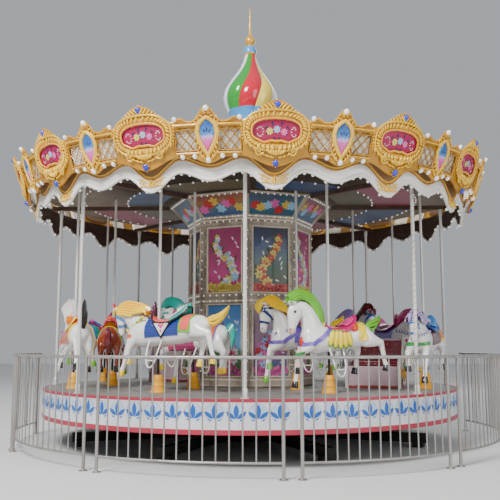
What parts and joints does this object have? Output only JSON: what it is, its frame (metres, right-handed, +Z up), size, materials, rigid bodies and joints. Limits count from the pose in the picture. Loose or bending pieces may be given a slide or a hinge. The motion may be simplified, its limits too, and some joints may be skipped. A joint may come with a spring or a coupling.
{
  "type": "fairground carousel with perimeter fence",
  "caption": "Round platform ride with galloping horses on poles, bench chariots, panelled centre column, gilded crown, onion dome and a curved tube fence.",
  "frame": {"origin": "on the ground, on the axis that the ride turns about, at the underside of the central pedestal", "axes": "+Z up; -Y is the front seen in the picture; +X is to the right in the picture"},
  "size_m": [7.119, 7.0814, 6.8],
  "materials": {
    "dark_steel": "dark painted steel, dusty",
    "fence_tube": "galvanised tube, dull, with light rust at the welds",
    "deck_plate": "worn grey metal plate, scuffed",
    "skirt_paint": "white printed board with blue leaf motif, red rim and band",
    "post_paint": "white gloss paint on steel tube",
    "column_frame": "beige grey moulded frames round painted panels",
    "ceiling_paint": "dark maroon and blue painted panels",
    "roof_sheet": "dull weathered sheet",
    "gold_paint": "ochre gold paint on fibreglass relief",
    "cream_paint": "cream paint on fibreglass with gold relief",
    "dome_paint": "twisted stripes of red, green, white and yellow gloss paint",
    "horse_paint": "white gloss fibreglass with bright painted harness",
    "chariot_paint": "pink and white gloss fibreglass"
  },
  "bodies": {
    "base": {"base_frame": "dark_steel", "centre_bearing": "dark_steel", "fence_bay_1": "fence_tube", "fence_bay_2": "fence_tube", "fence_bay_3": "fence_tube", "fence_bay_4": "fence_tube", "fence_bay_5": "fence_tube", "fence_bay_6": "fence_tube"},
    "turntable": {"deck": "deck_plate", "skirt_1": "skirt_paint", "skirt_2": "skirt_paint", "skirt_3": "skirt_paint", "skirt_4": "skirt_paint", "post_1": "post_paint", "post_2": "post_paint", "post_3": "post_paint", "post_4": "post_paint", "post_5": "post_paint", "post_6": "post_paint", "post_7": "post_paint", "post_8": "post_paint", "column_lower": "column_frame", "column_upper": "column_frame", "column_cornice": "column_frame", "ceiling": "ceiling_paint", "roof": "roof_sheet", "crown_board_1": "gold_paint", "crown_board_2": "gold_paint", "crown_board_3": "gold_paint", "crown_board_4": "gold_paint", "crown_board_5": "gold_paint", "crown_board_6": "gold_paint", "crown_board_7": "gold_paint", "valance_1": "cream_paint", "valance_2": "cream_paint", "valance_3": "cream_paint", "valance_4": "cream_paint", "valance_5": "cream_paint", "valance_6": "cream_paint", "valance_7": "cream_paint", "onion_dome": "dome_paint", "finial": "gold_paint", "chariot_01": "chariot_paint", "chariot_02": "chariot_paint"},
    "horse_01": {"horse_01": "horse_paint"},
    "horse_02": {"horse_02": "horse_paint"},
    "horse_03": {"horse_03": "horse_paint"},
    "horse_04": {"horse_04": "horse_paint"},
    "horse_05": {"horse_05": "horse_paint"},
    "horse_06": {"horse_06": "horse_paint"},
    "horse_07": {"horse_07": "horse_paint"},
    "horse_08": {"horse_08": "horse_paint"},
    "horse_09": {"horse_09": "horse_paint"},
    "horse_10": {"horse_10": "horse_paint"},
    "horse_11": {"horse_11": "horse_paint"},
    "horse_12": {"horse_12": "horse_paint"}
  },
  "joints": [
    {"name": "turntable_spin", "type": "hinge", "parent": "base", "child": "turntable", "pos_m": [0, 0, 0.62], "axis": [0, 0, 1], "continuous": true},
    {"name": "horse_01_lift", "type": "slide", "parent": "turntable", "child": "horse_01", "axis": [0, 0, 1], "range_m": [-0.12, 0.08]},
    {"name": "horse_02_lift", "type": "slide", "parent": "turntable", "child": "horse_02", "axis": [0, 0, 1], "range_m": [-0.01, 0.19]},
    {"name": "horse_03_lift", "type": "slide", "parent": "turntable", "child": "horse_03", "axis": [0, 0, 1], "range_m": [-0.005, 0.195]},
    {"name": "horse_04_lift", "type": "slide", "parent": "turntable", "child": "horse_04", "axis": [0, 0, 1], "range_m": [-0.04, 0.16]},
    {"name": "horse_05_lift", "type": "slide", "parent": "turntable", "child": "horse_05", "axis": [0, 0, 1], "range_m": [-0.03, 0.17]},
    {"name": "horse_06_lift", "type": "slide", "parent": "turntable", "child": "horse_06", "axis": [0, 0, 1], "range_m": [-0.09, 0.11]},
    {"name": "horse_07_lift", "type": "slide", "parent": "turntable", "child": "horse_07", "axis": [0, 0, 1], "range_m": [-0.02, 0.18]},
    {"name": "horse_08_lift", "type": "slide", "parent": "turntable", "child": "horse_08", "axis": [0, 0, 1], "range_m": [-0.13, 0.07]},
    {"name": "horse_09_lift", "type": "slide", "parent": "turntable", "child": "horse_09", "axis": [0, 0, 1], "range_m": [-0.01, 0.19]},
    {"name": "horse_10_lift", "type": "slide", "parent": "turntable", "child": "horse_10", "axis": [0, 0, 1], "range_m": [-0.05, 0.15]},
    {"name": "horse_11_lift", "type": "slide", "parent": "turntable", "child": "horse_11", "axis": [0, 0, 1], "range_m": [-0.03, 0.17]},
    {"name": "horse_12_lift", "type": "slide", "parent": "turntable", "child": "horse_12", "axis": [0, 0, 1], "range_m": [-0.03, 0.17]}
  ]
}
